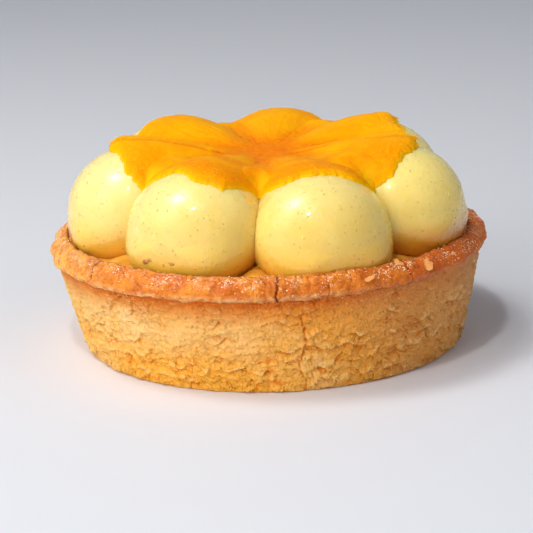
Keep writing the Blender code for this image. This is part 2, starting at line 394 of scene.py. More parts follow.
def rim_material():
    n = Nodes("rim_looks")
    relief, inner, x = n.attribute("relief"), n.attribute("inner"), n.axis("X")
    patches = n.noise(0.0045, 3.0, 0.6)
    grains = n.noise(0.0007, 3.0, 0.7)
    flaked = n.noise(0.0018, 4.0, 0.7, shift=(0.2, 0.5, 0.1))
    blisters = n.cells(0.0011, n.warped(0.0016, 0.0009))
    brink = n.times(n.attribute("brink"), n.span(flaked, 0.42, 0.58, 0.85, 0.15))
    # Painted light: paler towards the left, the side that faces the lamps, broken up by the crumb's flaky
    # patches.
    painted_left_light = n.times(n.span(x, -0.026, -0.038, 0.9), n.span(flaked, 0.4, 0.58, 1.0, 0.3))
    wet = n.times(n.span(patches, 0.4, 0.6, 0.2, 0.55), n.span(x, 0.028, 0.039, 0.3, 1.0))
    n.set(
        Base_Color=n.layered(
            n.blend(n.span(patches, 0.38, 0.62), (0.66, 0.15, 0.01), (0.88, 0.31, 0.04)),
            # Painted shade: deeper red under the rim's lip.
            (n.span(n.axis("Z"), 0.019, 0.0176, 0.7), (0.8, 0.2, 0.016)),
            (brink, (0.94, 0.5, 0.19)),
            (painted_left_light, (0.97, 0.48, 0.1)),
            (n.span(grains, 0.58, 0.75, 0.5), (0.92, 0.46, 0.15)),
            # Painted light and shade: paler on raised facets, dark brown in recesses and cracks.
            (n.span(relief, 0.25, 1.0, 0.5), (0.9, 0.42, 0.12)),
            (n.span(relief, -0.1, -0.9), (0.46, 0.082, 0.005)),
            # Painted shade: darker and redder towards the right, the side away from the lamps.
            (n.span(x, 0.0, 0.03, 0.7), (0.6, 0.1, 0.003)),
            # Painted shade: dark brown on the rim's inner face beside the domes.
            (inner, (0.24, 0.04, 0.003)),
        ),
        Normal=n.skin(
            (n.noise(0.00035, 2.0, 0.6), 0.00014),
            (grains, 0.00028),
            (n.span(blisters, 0.0, 0.7, 0.0, 1.0), 0.00022, 0.9),
        ),
        Roughness=n.span(grains, 0.35, 0.65, 0.5, 0.28),
        Specular_IOR_Level=0.12,
        Coat_Weight=n.times(wet, n.span(inner, 0.5, 0.0)), Coat_Roughness=0.07,
        Subsurface_Weight=0.25, Subsurface_Radius=(1.0, 0.4, 0.1), Subsurface_Scale=0.0012,
    )
    return n.owner


def wall_material():
    n = Nodes("wall_looks")
    relief, x, height = n.attribute("relief"), n.axis("X"), n.axis("Z")
    patches = n.noise(0.006, 4.0, 0.6)
    broad = n.noise(0.02, 2.0, 0.5, shift=(0.3, 0.1, 0.2))
    grains = n.noise(0.00055, 3.0, 0.7)
    crumbs = n.cells(0.0008, n.warped(0.0012, 0.0006))
    seams = n.cells(0.0019, n.warped(0.0018, 0.0016, (1.0, 1.0, 1.7)), "DISTANCE_TO_EDGE")
    fine_seams = n.times(n.span(seams, 0.06, 0.015), n.span(n.noise(0.0028, 2.0), 0.46, 0.58))
    layers = n.cells(0.0015, n.warped(0.0022, 0.002, (1.0, 1.0, 1.9)), "F1", "Color")
    flaky = n.span(n.noise(0.005, 2.0, 0.5, shift=(0.7, 0.2, 0.4)), 0.4, 0.6, 1.0, 0.15)
    n.set(
        Base_Color=n.layered(
            # Partly painted light: paler towards the left, which faces the lamps, and the crust's orange
            # towards the middle.
            n.blend(n.span(x, -0.02, 0.006), (0.99, 0.57, 0.19), (0.92, 0.39, 0.05)),
            # Golden towards the foot: partly the crust's baked colour, partly painted warm reflection of a
            # gold cake board that is not built.
            (n.span(height, 0.0115, 0.003, 0.9), (1.0, 0.45, 0.04)),
            (n.span(broad, 0.45, 0.65, 0.4), (1.0, 0.66, 0.29)),
            (n.span(patches, 0.48, 0.7, 0.55), (0.97, 0.47, 0.065)),
            # Painted shade: redder and darker up towards the rim, darkest just under its lip.
            (n.span(height, 0.0122, 0.0174, 0.95), (0.76, 0.22, 0.02)),
            (n.span(height, 0.016, 0.0177, 0.8), (0.66, 0.13, 0.008)),
            # Painted shade: darker towards the right and greyer at the far right, the side away from the
            # lamps.
            (n.span(x, 0.005, 0.026, 0.65), (0.68, 0.28, 0.08)),
            (n.span(x, 0.031, 0.038, 0.4), (0.46, 0.27, 0.15)),
            (n.span(grains, 0.55, 0.75, 0.45), (1.0, 0.72, 0.33)),
            (n.span(grains, 0.45, 0.3, 0.35), (0.9, 0.42, 0.07)),
            # Painted light and shade: paler on raised flakes, darker in recesses and fine seams.
            (n.span(relief, 0.15, 0.8, 0.45), (1.0, 0.7, 0.3)),
            (n.span(relief, -0.25, -1.0, 0.9), (0.92, 0.6, 0.28), "MULTIPLY"),
            (n.times(fine_seams, 0.6), (0.95, 0.68, 0.38), "MULTIPLY"),
        ),
        Normal=n.skin(
            (grains, 0.0002),
            (n.span(crumbs, 0.0, 0.6, 0.0, 1.0), 0.00018),
            (n.math("SUBTRACT", 1.0, fine_seams), 0.00008),
            (n.times(layers, flaky), 0.0004),
        ),
        Roughness=n.span(grains, 0.3, 0.7, 0.8, 0.55),
        Specular_IOR_Level=0.18,
        Subsurface_Weight=0.25, Subsurface_Radius=(1.0, 0.5, 0.15), Subsurface_Scale=0.001,
    )
    return n.owner


def custard_material(name="custard_looks", specks=True):
    n = Nodes(name)
    x, height = n.axis("X"), n.axis("Z")
    clouds = n.noise(0.006, 3.0, 0.6)
    # Painted sheen: paler on the domes' upper left, where the lamps' broad reflections lie.
    painted_left_sheen = n.times(n.span(x, -0.008, -0.034, 0.5), n.span(height, 0.023, 0.031))
    # Painted light: paler on the domes' upper right.
    painted_right_light = n.times(n.span(x, 0.012, 0.032, 0.6), n.span(height, 0.025, 0.031))
    # Painted shade: darker low on the domes' right.
    painted_low_right_shade = n.times(n.span(height, 0.0272, 0.0222), n.span(x, 0.014, 0.03, 0.9))
    base = n.blend(n.span(clouds, 0.2, 0.8), (0.85, 0.595, 0.13), (0.88, 0.65, 0.185))
    tints = [
        # Deeper orange low on the domes: partly baked colour, partly painted shade and painted warm
        # reflection from the crust.
        (n.span(height, 0.0272, 0.021, 0.95), (0.86, 0.46, 0.038)),
        # Painted light: paler towards the tops, which face the lamps.
        (n.span(height, 0.029, 0.037, 0.8), (0.95, 0.77, 0.28)),
        (painted_left_sheen, (0.95, 0.78, 0.34)),
        (painted_right_light, (1.0, 0.78, 0.22)),
        # Painted shade: dark brown at the domes' feet, against the rim.
        (n.span(height, 0.0222, 0.0196, 0.8), (0.62, 0.23, 0.018)),
        (painted_low_right_shade, (0.62, 0.22, 0.01)),
    ]
    bumps = [(n.noise(0.0014, 4.0, 0.65), 0.00013)]
    if specks:
        speckled = n.span(n.noise(0.0035, 1.0), 0.44, 0.54, 0.5)
        shown = n.times(n.span(n.cells(0.001), 0.14, 0.08), speckled)
        bubbly = n.span(n.noise(0.006, 1.0, shift=(0.4, 0.1, 0.6)), 0.42, 0.6)
        tints.append((shown, (0.66, 0.37, 0.06)))
        bumps += [(shown, -0.0001), (n.times(n.span(n.cells(0.0017), 0.17, 0.05), bubbly), 0.00011)]
    n.set(
        Base_Color=n.layered(base, *tints),
        Normal=n.skin(*bumps),
        Roughness=n.span(clouds, 0.1, 0.9, 0.32, 0.22),
        Specular_IOR_Level=0.35,
        Subsurface_Weight=0.4, Subsurface_Radius=(1.0, 0.6, 0.15), Subsurface_Scale=0.003,
        Coat_Weight=0.55, Coat_Roughness=0.04,
    )
    return n.owner


def gel_material(name="gel_looks", gloss=0.02):
    n = Nodes(name)
    # basin_and_shade: darker orange in the sunk middle, and painted shade on the slopes, along the front
    # shoulder and in the folds.
    basin_and_shade = n.attribute("basin_and_shade")
    clouds = n.noise(0.005, 3.0, 0.6)
    streaks = n.noise(0.0014, 3.0, 0.6)
    mottled = n.times(basin_and_shade, n.span(n.noise(0.0009, 3.0, 0.7), 0.48, 0.66, 0.6))
    n.set(
        Base_Color=n.layered(
            n.blend(n.span(clouds, 0.3, 0.7), (0.94, 0.35, 0.001), (0.96, 0.4, 0.0015)),
            (basin_and_shade, (0.84, 0.165, 0.0005)),
            (mottled, (0.6, 0.072, 0.0004)),
            (n.span(streaks, 0.52, 0.7, 0.25), (0.97, 0.43, 0.003)),
            (n.attribute("thin_and_painted_light"), (0.97, 0.5, 0.004)),
        ),
        Normal=n.skin((n.noise(0.0009, 4.0, 0.65), 0.0002), (n.noise(0.0003, 3.0, 0.7), 0.00005)),
        Roughness=n.span(clouds, 0.3, 0.7, 0.52, 0.4),
        Specular_IOR_Level=gloss,
        Subsurface_Weight=0.35, Subsurface_Radius=(1.0, 0.35, 0.02), Subsurface_Scale=0.0018,
    )
    return n.owner


def lump_material(name, pale, dark, roughness, coat=0.0, patch=0.0008):
    n = Nodes(name)
    grains = n.noise(patch, 3.0, 0.7)
    n.set(
        Base_Color=n.blend(n.span(grains, 0.35, 0.65), dark, pale),
        Normal=n.bump(n.noise(0.0004, 3.0, 0.7), 0.0001),
        Roughness=n.span(grains, 0.3, 0.7, roughness + 0.15, roughness),
        Specular_IOR_Level=0.4,
        Coat_Weight=coat, Coat_Roughness=0.1,
    )
    return n.owner


# ---- shortcrust case

RIM_SEGMENTS = 1240
WALL_SEGMENTS = 1220
RIM_TOP_RINGS = 26
WALL_RINGS = 70
POLE_RADIUS = 0.004  # where the profiles begin and end
RIM_BACK_Z = 0.0164
WALL_BACK_Z = 0.0166
RELIEF_UNIT = 0.0003  # relief that the material reads as 1

# Relief. Grains and wander are lists of (height, size, offset).
CRUMB_OFFSET = np.array((7.0, 3.0, 1.0))
RIM_CRAGS = 0.45  # share of the solids' crags
RIM_CRUMBS = 0.7  # and of their crumbs
RIM_GRAINS = ((0.0001, 0.001, 5.0), (0.00007, 0.0005, 9.0))
RIM_PLATE_SIZE = 0.0016
RIM_PLATE_STEP = 0.00016
RIM_PLATE_TILT = 0.00012
RIM_SEAM_DEPTH = 0.00012
LUMP_BEARING = -88.0
LUMP_SIZE = 0.0024
LUMP_HEIGHT = 0.00045
CRACK_WANDER = 0.0006
CRACK_HALF_WIDTH = 0.0003
# By bearing, as CRACK_BEARINGS.
CRACK_DEPTHS = (0.0008, 0.0008, 0.0002, 0.001, 0.0008, 0.0006, 0.0008, 0.0006, 0.0008)
WALL_PORES = 0.7  # share of the solids' pores
WALL_CRUMBS = 0.4  # and of their crumbs
WALL_GRAINS = ((0.00009, 0.0009, 5.0), (0.00006, 0.00045, 9.0))
WALL_PLATE_SIZE = 0.0027
WALL_PLATE_STEP = 0.00034
WALL_PLATE_TILT = 0.00066
WALL_CHIP_SIZE = 0.0013
WALL_CHIP_STEP = 0.00018
WALL_CHIP_TILT = 0.00026
WALL_SEAM_DEPTH = 0.00024
WALL_GRAIN_SIZE = 0.0009
SAND_HEIGHT = 0.00016
PIT_DEPTH = 0.00026
PRESSED_RELIEF = 0.0003  # the ring pressed the wall's flakes down to this
WALL_WANDER = ((0.0009, 0.0028, 2.0), (0.0003, 0.0009, 7.0))
WALL_CRACKS = (  # down the wall: bearing, upper and lower end, half width, depth
    (7.6, 0.0148, 0.0, 0.00026, 0.00045), (-28, 0.006, 0.0, 0.00022, 0.0003),
    (31, 0.0135, 0.009, 0.00022, 0.0003),
)


def rim_profile():
    """From the middle of the recess over the rim to the neck, and back inside below the recess."""
    foot, edge = (RECESS_RADIUS, RECESS_Z), (RIM_INNER_RADIUS, RIM_CREST_Z - RIM_INNER_DROP)
    middle = (mix(RECESS_RADIUS, RIM_INNER_RADIUS, 0.5), mix(RECESS_Z, RIM_CREST_Z, 0.45))
    points = [(POLE_RADIUS, RECESS_Z), foot]
    for start, end in ((foot, middle), (middle, edge)):
        points += [(mix(start[0], end[0], t), mix(start[1], end[1], t)) for t in (0.25, 0.5, 0.75, 1.0)]
    points += [(mix(RIM_INNER_RADIUS, RIM_CREST_RADIUS, t), RIM_CREST_Z - RIM_INNER_DROP * (1.0 - t) ** 2)
               for t in (0.33, 0.66, 1.0)]
    for step in range(1, RIM_TOP_RINGS + 1):
        turn = 90.0 * step / RIM_TOP_RINGS
        out = mix(turn / 90.0, math.sin(math.radians(turn)), RIM_ROUNDNESS)
        fall = mix(turn / 90.0, 1.0 - math.cos(math.radians(turn)), RIM_ROUNDNESS)
        points.append((mix(RIM_CREST_RADIUS, RIM_RADIUS, out), mix(RIM_CREST_Z, RIM_EDGE_Z, fall)))
    for t in (0.2, 0.4, 0.6, 0.8, 1.0):
        points.append((RIM_RADIUS - LIP_TUCK * t * t, mix(RIM_EDGE_Z, NECK_Z, 0.6 * t)))
    for t in (0.33, 0.66, 1.0):
        radius = mix(RIM_RADIUS - LIP_TUCK, WALL_TOP_RADIUS - 0.0002, t)
        points.append((radius, mix(NECK_Z, RIM_EDGE_Z, 0.4 * (1 - t))))
    points += [(WALL_TOP_RADIUS - 0.0012, NECK_Z - 0.0004), (0.0375, RIM_BACK_Z), (POLE_RADIUS, RIM_BACK_Z)]
    return np.array(points)


def wall_profile():
    """From inside the rim down the outside to the base."""
    points = [(POLE_RADIUS, WALL_BACK_Z), (0.0372, WALL_BACK_Z), (0.0385, 0.0181)]
    points.append((WALL_TOP_RADIUS - 0.0003, 0.0182))
    for ring in range(WALL_RINGS + 1):
        t = ring / WALL_RINGS
        radius = mix(WALL_TOP_RADIUS, WALL_FOOT_RADIUS, t) + WALL_BULGE * math.sin(math.pi * t)
        points.append((radius, mix(NECK_Z, BASE_ROUNDING, t)))
    for turn in (20, 40, 60, 78):
        a = math.radians(turn)
        points.append((mix(BASE_RADIUS, WALL_FOOT_RADIUS, math.cos(a)), BASE_ROUNDING * (1.0 - math.sin(a))))
    points += [(BASE_RADIUS, 0.0), (POLE_RADIUS, 0.0)]
    return np.array(points)


def turned_grid(profile, segments):
    """Points of a turned profile, its rings as rows, and the outward normals."""
    bearing = np.arange(segments) * 360.0 / segments
    tangent = np.gradient(profile, axis=0)
    slope = np.stack([-tangent[:, 1], tangent[:, 0]], axis=1)
    slope /= np.linalg.norm(slope, axis=1)[:, None]

    def spin(rows):
        return around(bearing[None, :], rows[:, 0][:, None], rows[:, 1][:, None])

    return spin(profile), spin(slope)


def rim_relief(points):
    """Crags, glazed facets and cracks of the rim: the whole relief, and its fine part."""
    radius = np.hypot(points[..., 0], points[..., 1])
    bearing = bearing_of(points)
    crags = RIM_CRAGS * CRAG_DEPTH * noise_at(points, CRAG_SIZE)
    crumbs = RIM_CRUMBS * CRUMB_DEPTH * noise_at(points, CRUMB_SIZE, CRUMB_OFFSET)
    plate = cells_at(warp(points, 0.0022, 0.0008), RIM_PLATE_SIZE, 3.0)
    border = 1.0 - ramp(plate.margin, 0.0, 0.16)
    plates = RIM_PLATE_STEP * (plate.share - 0.5) + RIM_PLATE_TILT * plate.rise
    plates -= RIM_SEAM_DEPTH * border * (plate.share > 0.4)
    lumps = LUMP_HEIGHT * (0.5 - ramp(cells_at(points, LUMP_SIZE, 6.0).near, 0.1, 0.8))
    lumpy = 1.0 - ramp(np.abs(turn_between(bearing, LUMP_BEARING)), 8.0, 26.0)
    wander = CRACK_WANDER * noise_at(points, 0.0016, 2.0)
    crack = np.zeros_like(radius)
    for place, depth in zip(CRACK_BEARINGS, CRACK_DEPTHS):
        away = np.radians(turn_between(bearing, place)) * radius + wander
        crack = np.maximum(crack, line_share(away, CRACK_HALF_WIDTH) * depth)
    fine = noise_sum(points, RIM_GRAINS) + plates - crack
    return crags + crumbs + lumps * lumpy + fine, fine


def wall_relief(points):
    """Flakes, cracks, crumbs and pits of the wall: the whole relief, and its fine part."""
    radius = np.hypot(points[..., 0], points[..., 1])
    bearing = bearing_of(points)
    height = points[..., 2]
    low = 1.0 - ramp(height, 0.004, 0.013)
    layered = points * (1.0, 1.0, LAYER_FLATNESS)
    pores = np.minimum(CRAG_DEPTH * noise_at(layered, PORE_SIZE), PORE_LIP)
    crumbs = CRUMB_DEPTH * noise_at(points, CRUMB_SIZE, CRUMB_OFFSET)
    grains = noise_sum(points, WALL_GRAINS)
    flaky = ramp(noise_at(points, 0.0065, 31.0) + 0.55 * low, -0.35, 0.45)
    plate = cells_at(warp(points, 0.003, 0.0014) * (1.0, 1.0, 1.8), WALL_PLATE_SIZE, 3.0)
    plates = mix(0.3, 1.0, flaky) * (WALL_PLATE_STEP * (plate.share - 0.5) - WALL_PLATE_TILT * plate.rise)
    chip = cells_at(warp(points, 0.0018, 0.0009) * (1.0, 1.0, 1.5), WALL_CHIP_SIZE, 5.0)
    chips = mix(0.3, 1.0, flaky) * (WALL_CHIP_STEP * (chip.share - 0.5) - WALL_CHIP_TILT * chip.rise)
    open_here = ramp(noise_at(points * (1.0, 1.0, 1.6), 0.0024, 41.0), -0.05, 0.3)
    seams = -WALL_SEAM_DEPTH * (1.0 - ramp(plate.margin, 0.03, 0.2)) * open_here * mix(0.2, 1.0, flaky)
    grain = cells_at(warp(points, 0.0016, 0.0005), WALL_GRAIN_SIZE, 8.0)
    sand = SAND_HEIGHT * (0.5 - grain.near) * mix(0.6, 1.0, flaky)
    pits = -PIT_DEPTH * (1.0 - ramp(grain.near, 0.08, 0.34)) * (grain.share > 0.86)
    wander = noise_sum(points, WALL_WANDER)
    crack = np.zeros_like(radius)
    for place, top, bottom, width, depth in WALL_CRACKS:
        away = np.radians(turn_between(bearing, place)) * radius + wander
        along = ramp(height, top + 0.0008, top - 0.0008) * ramp(height, bottom - 0.0008, bottom + 0.0004)
        crack = np.maximum(crack, line_share(away, width) * along * depth)
    whole = WALL_PORES * pores + WALL_CRUMBS * crumbs + grains + plates + chips + seams + sand + pits
    whole = soft_min(whole, PRESSED_RELIEF, PRESSED_RELIEF) - crack
    return whole, seams + pits - crack + 0.5 * (plates + chips)


def case_places(grid, normals, relief):
    """The turned case with its relief, wander and lean."""
    height = grid[..., 2]
    out = grid * (1.0, 1.0, 0.0)
    out /= np.linalg.norm(out, axis=-1)[..., None]
    bearing = np.radians(bearing_of(grid))
    above_base = ramp(height, 0.0, 0.3 * BASE_ROUNDING)
    moved = grid + normals * (relief * above_base)[..., None]
    sway = noise_at(out[0], 1.0 / SWAY_TURNS)[None, :] * RIM_SWAY * ramp(height, 0.0, NECK_Z)
    moved += out * sway[..., None]
    lip = ramp(height, 0.66 * NECK_Z, NECK_Z) * (1.0 - ramp(height, RIM_EDGE_Z, RIM_CREST_Z))
    moved[..., 2] += LIP_SWAY * np.sin(bearing) * lip
    moved[..., 2] -= REAR_DROP * (0.5 - 0.5 * np.cos(bearing)) * ramp(height, RECESS_Z, RIM_CREST_Z)
    moved[..., 0] += BASE_SHIFT * np.maximum(1.0 - height / RIM_EDGE_Z, 0.0)
    return keep_inside(moved)


def build_rim():
    grid, normals = turned_grid(rim_profile(), RIM_SEGMENTS)
    full, fine = rim_relief(grid)
    radius = np.hypot(grid[..., 0], grid[..., 1])
    shown = ramp(radius, RIM_INNER_RADIUS - 0.0006, RIM_CREST_RADIUS)
    shown = shown * ramp(grid[..., 2], NECK_Z - 0.0008, NECK_Z)
    values = {
        "relief": np.clip(fine / RELIEF_UNIT, -1.0, 1.0) * shown,
        # inner marks the rim's inner face, which the material darkens as painted shade.
        "inner": 1.0 - ramp(radius, RIM_INNER_RADIUS - 0.0001, RIM_INNER_RADIUS + 0.0013),
        "brink": np.maximum(
            line_share(radius - RIM_CREST_RADIUS + 0.0001, 0.0007) * (grid[..., 2] > RIM_EDGE_Z),
            ramp(grid[..., 2], RIM_EDGE_Z + 0.0006, RIM_EDGE_Z - 0.0003),
        ) * shown,
    }
    values["inner"][-3:] = 0.0
    places = case_places(grid, normals, full * shown)
    return add_closed("crust_rim", places, values, rim_material(), "shortcrust", "crust")


def build_wall():
    grid, normals = turned_grid(wall_profile(), WALL_SEGMENTS)
    full, fine = wall_relief(grid)
    radius = np.hypot(grid[..., 0], grid[..., 1])
    shown = ramp(radius, BASE_RADIUS - 0.0002, BASE_RADIUS + 0.0003)
    shown = shown * ramp(grid[..., 2], NECK_Z + 0.0002, NECK_Z - 0.0004)
    values = {"relief": np.clip(fine / RELIEF_UNIT, -1.0, 1.0) * shown}
    places = case_places(grid, normals, full * shown)
    return add_closed("crust_wall", places, values, wall_material(), "shortcrust", "crust")


# ---- custard domes

DOME_SEGMENTS = 168
DOME_RINGS = 112
CREASE_SOFTNESS = 0.001
DOME_OVERLAP = 0.001  # pressed domes merge by this much at their crease
DOME_FULLNESS = 0.8  # how much the lower half of a dome bulges beyond an ellipsoid
PRESSED_FULLNESS = 2.9  # the same towards its neighbours


def tail_top(dome, along):
    rise = np.sin(0.5 * math.pi * np.clip(along / dome.ring, 0.0, 1.0))
    return mix(TAIL_TOP_Z, dome.middle_z + dome.vertical, rise)


def half_width(dome, along):
    return dome.tangential * (1.0 - TAIL_NARROWING * (1.0 - np.clip(along / dome.ring, 0.0, 1.0)))


def from_bearing(bearing, along, across, z):
    sin, cos = math.sin(math.radians(bearing)), math.cos(math.radians(bearing))
    return np.stack([along * sin + across * cos, across * sin - along * cos, z], axis=-1)


def dome_places(number):
    """Points of a dome on rings from its outer end to its tail."""
    dome = DOMES[number]
    left_turn = 0.5 * math.radians(turn_between(dome.bearing, DOMES[number - 1].bearing))
    right_turn = 0.5 * math.radians(turn_between(DOMES[(number + 1) % len(DOMES)].bearing, dome.bearing))
    polar = np.linspace(0.02, math.pi - 0.02, DOME_RINGS)[:, None]
    spin = np.arange(DOME_SEGMENTS)[None, :] * math.tau / DOME_SEGMENTS
    outward = np.broadcast_to(np.cos(polar), (DOME_RINGS, DOME_SEGMENTS))
    size = np.broadcast_to(np.sin(polar), outward.shape)
    sideways, upward = np.broadcast_arrays(np.sin(spin), np.cos(spin), outward)[:2]
    back = np.clip(1.0 - np.arccos(np.clip(-outward, 0.0, 1.0)) / (0.5 * math.pi), 0.0, 1.0)
    outer = outward >= 0.0
    lower = ramp(-upward, -0.2, 1.1)
    plump = 2.0 / (2.0 + DOME_FULLNESS * lower)
    swollen = dome.ring + dome.radial * np.maximum(outward, 0.0) ** plump
    along = np.where(outer, swollen, mix(dome.ring, TAIL_TIP, back))
    spread = np.where(outer, size ** plump, (1.0 - back ** 4) ** 0.25)
    pressed = 2.0 / (2.0 + mix(DOME_FULLNESS, PRESSED_FULLNESS, np.abs(sideways)) * lower)
    across = half_width(dome, along) * np.where(outer, size ** pressed, spread) * sideways
    z = tail_top(dome, along) + dome.vertical * (spread * upward - 1.0)
    ripple = np.stack([along, across, z], axis=-1) + np.array((dome.bearing * DOME_WAVE_SIZE, 0.0, 0.0))
    wave = DOME_WAVE * (noise_at(ripple, DOME_WAVE_SIZE) - 1.0)
    along = along + wave * np.maximum(outward, 0.0)
    across = across * (1.0 + wave / dome.tangential)
    across = soft_min(across, along * math.tan(right_turn) + DOME_OVERLAP, CREASE_SOFTNESS)
    across = -soft_min(-across, along * math.tan(left_turn) + DOME_OVERLAP, CREASE_SOFTNESS)
    z = np.maximum(z, RECESS_Z - 0.0001)
    return from_bearing(dome.bearing, along, across, z)


def build_domes():
    material = custard_material()
    domes = []
    for number in range(len(DOMES)):
        looks = (material, "custard", f"custard_dome_{number + 1}")
        domes.append(add_closed(f"custard_piped_{number + 1}", dome_places(number), {}, *looks))
    return domes


FILLING_INNER = 0.02
FILLING_OUTER = 0.0369
FILLING_Z = 0.0201
FILLING_TUCK = 0.0009
FILLING_WAVES = ((0.0003, 0.003, 0.0), (0.00012, 0.0011, 4.0))  # height, size, offset
WEB_HEIGHT = 0.0012  # custard that rises between two domes
WEB_HALF_TURN = 6.0


def build_filling():
    """Custard that fills the case round the domes' feet; it shows only in the gaps between them."""
    bearing = (np.arange(240) * 1.5)[None, :]
    radius = np.linspace(FILLING_INNER, FILLING_OUTER, 24)[:, None]
    top = around(bearing, radius, FILLING_Z)
    for number, dome in enumerate(DOMES):
        valley = dome.bearing - 0.5 * turn_between(dome.bearing, DOMES[number - 1].bearing)
        web = line_share(turn_between(bearing, valley), WEB_HALF_TURN) * ramp(radius, 0.0367, 0.0325)
        top[..., 2] += WEB_HEIGHT * web
    top[..., 2] += noise_sum(top, FILLING_WAVES)
    sides = (radius[:1], radius[-1:] - FILLING_TUCK)
    inner, outer = (around(bearing, side, RECESS_Z) for side in sides)
    grid = np.concatenate([inner, top, outer])
    # Darker and redder than the domes: partly baked custard, partly painted shade for the gaps between the
    # domes.
    baked = lump_material("filling_looks", (0.8, 0.39, 0.04), (0.68, 0.28, 0.022), 0.45, 0.0, 0.002)
    add_closed("custard_filling", grid, {}, baked, "custard")


# ---- fruit gel sheet

SHEET_SEGMENTS = 640
SHEET_RINGS = 56
SHEET_EDGE_RINGS = 40
SHEET_UNDER_RINGS = 24
SHEET_SPREAD = 0.0005
SHEET_SLACK = 0.8  # share of SHEET_SPAN, which is the solid's
SHEET_EDGE_START = 0.84  # share of the reach where the sheet starts to sink onto the domes
SHEET_HUG = 0.0016  # how softly the edge follows the furrows
BASIN_Z = 0.0353  # the sheet's middle lies no lower than this
BASIN_SOFTNESS = 0.0025
FURROW_DEPTH = 0.0036  # how far below that the edge may follow the furrows
FREE_LIFT = 0.0006  # lift from which the edge stands free
FREE_EDGE = 0.00022  # thickness of the free edge
MELTED_EDGE = 0.00016  # and of the edge on the domes, before it sinks in
MELTED_WAVES = ((0.00013, 0.0013, 6.0), (0.00011, 0.0006, 2.0))  # height, size, offset
MELTED_SINK = 0.0011
SHEET_WAVES = ((0.00009, 0.0024, 0.0), (0.00007, 0.001, 4.0))
SHEET_TEETH = ((0.00055, 40.0), (0.00035, 95.0))  # height, waves
FIBRE_HEIGHT = 0.00006
CREASES_PER_VALLEY = 4
CREASES_PER_SHOULDER = 3
CREASE_HALF_WIDTH = 0.00035
CREASE_SHARE = 0.45  # of the depth of the long folds
FOLD_HALF_WIDTH = 0.0009
FOLD_DEPTH = 0.0002
HANGING_EDGE = 0.0006  # thickness of the free part at its edge
HANGING_MORE = 0.0009  # and what it gains inwards
LYING_SINK = 0.0011
SHEET_TRIMS = (  # as SHEET_DENTS, for the thin edge
    (-86, 0.0007, 8), (-68, 0.0018, 20), (-34, 0.002, 10), (-5.0, 0.0042, 11),
    (23, 0.002, 14), (42, 0.0022, 8), (56, 0.0008, 10), (72, -0.0009, 9),
    (94, 0.0022, 14), (107, 0.0012, 10),
)
SHEET_FOLDS = (  # long folds that the photo shows: places from the middle
    ((-0.0281, -0.003), (-0.0227, -0.0045), (-0.0182, -0.0042), (-0.0131, -0.0041), (-0.0082, -0.004)),
    ((0.0043, -0.0047), (0.0101, -0.0054), (0.0155, -0.0065), (0.0208, -0.0086), (0.0267, -0.0084)),
)
SHEET_CURLS = (  # as SHEET_LIFTS, for the free edge
    (96, 0.0026, 20), (117, 0.001, 12),
)


def dome_height(dome, x, y):
    a = math.radians(dome.bearing)
    along = x * math.sin(a) - y * math.cos(a)
    across = x * math.cos(a) + y * math.sin(a)
    beyond = np.maximum(np.maximum(along - dome.ring, -along), 0.0) / dome.radial
    inside = 1.0 - beyond ** 2 - (across / half_width(dome, along)) ** 2
    return tail_top(dome, along) + dome.vertical * (np.sqrt(np.maximum(inside, 0.0)) - 1.0)


def drape(x, y, softness):
    """Height of a skin laid over the domes: their smooth maximum."""
    laid = dome_height(DOMES[0], x, y)
    for dome in DOMES[1:]:
        laid = soft_max(laid, dome_height(dome, x, y), softness)
    return laid


def swell(bearing, places):
    return sum(height * (1.0 - ramp(np.abs(turn_between(bearing, middle)), 0.0, half_turn))
               for middle, height, half_turn in places)


def edge_noise(bearing, waves, height):
    """Noise along the sheet's edge."""
    return noise_at(around(bearing, 1.0, height) * (1.0, -1.0, 1.0), 1.0 / waves)


def sheet_reach(bearing):
    ragged = edge_noise(bearing, 6.0, 0.3) + 0.5 * edge_noise(bearing, 13.0, 0.7)
    return SHEET_RADIUS + SHEET_SPREAD - swell(bearing, SHEET_DENTS + SHEET_TRIMS) + SHEET_RAGGED * ragged


def sheet_teeth(bearing):
    """Fine raggedness of the very edge."""
    return sum(height * edge_noise(bearing, waves, 0.5) for height, waves in SHEET_TEETH)


def creases(bearing, reach):
    """Fine folds along the valleys between the lobes, and over the lobes' shoulders; 1 at their lines."""
    rng = np.random.default_rng(20)
    depth = np.zeros(np.broadcast(bearing, reach).shape)
    for number, dome in enumerate(DOMES):
        half_turn = 0.5 * turn_between(dome.bearing, DOMES[number - 1].bearing)
        for _ in range(CREASES_PER_VALLEY):
            middle = dome.bearing - half_turn + rng.normal(0.0, 8.0)
            bend, start = rng.uniform(-14.0, 14.0), rng.uniform(0.003, 0.013)
            length = rng.uniform(0.005, 0.012)
            away = np.radians(turn_between(bearing, middle + bend * (reach / 0.02) ** 2)) * reach
            along = ramp(reach, start, start + 0.002) * ramp(reach, start + length, start + length - 0.003)
            share = line_share(away, CREASE_HALF_WIDTH) * along
            depth = np.maximum(depth, share * rng.uniform(0.4, 1.0))
        for _ in range(CREASES_PER_SHOULDER):
            middle, half_length = dome.bearing + rng.uniform(-12.0, 12.0), rng.uniform(6.0, 14.0)
            radius, slant = rng.uniform(0.0205, 0.0255), rng.uniform(-0.002, 0.002)
            turn = turn_between(bearing, middle)
            away = reach - radius - slant * (turn / 20.0) + 0.0016 * (turn / 20.0) ** 2
            along = ramp(np.abs(turn), half_length, 0.5 * half_length)
            depth = np.maximum(depth, line_share(away, CREASE_HALF_WIDTH) * along * 0.5)
    return depth


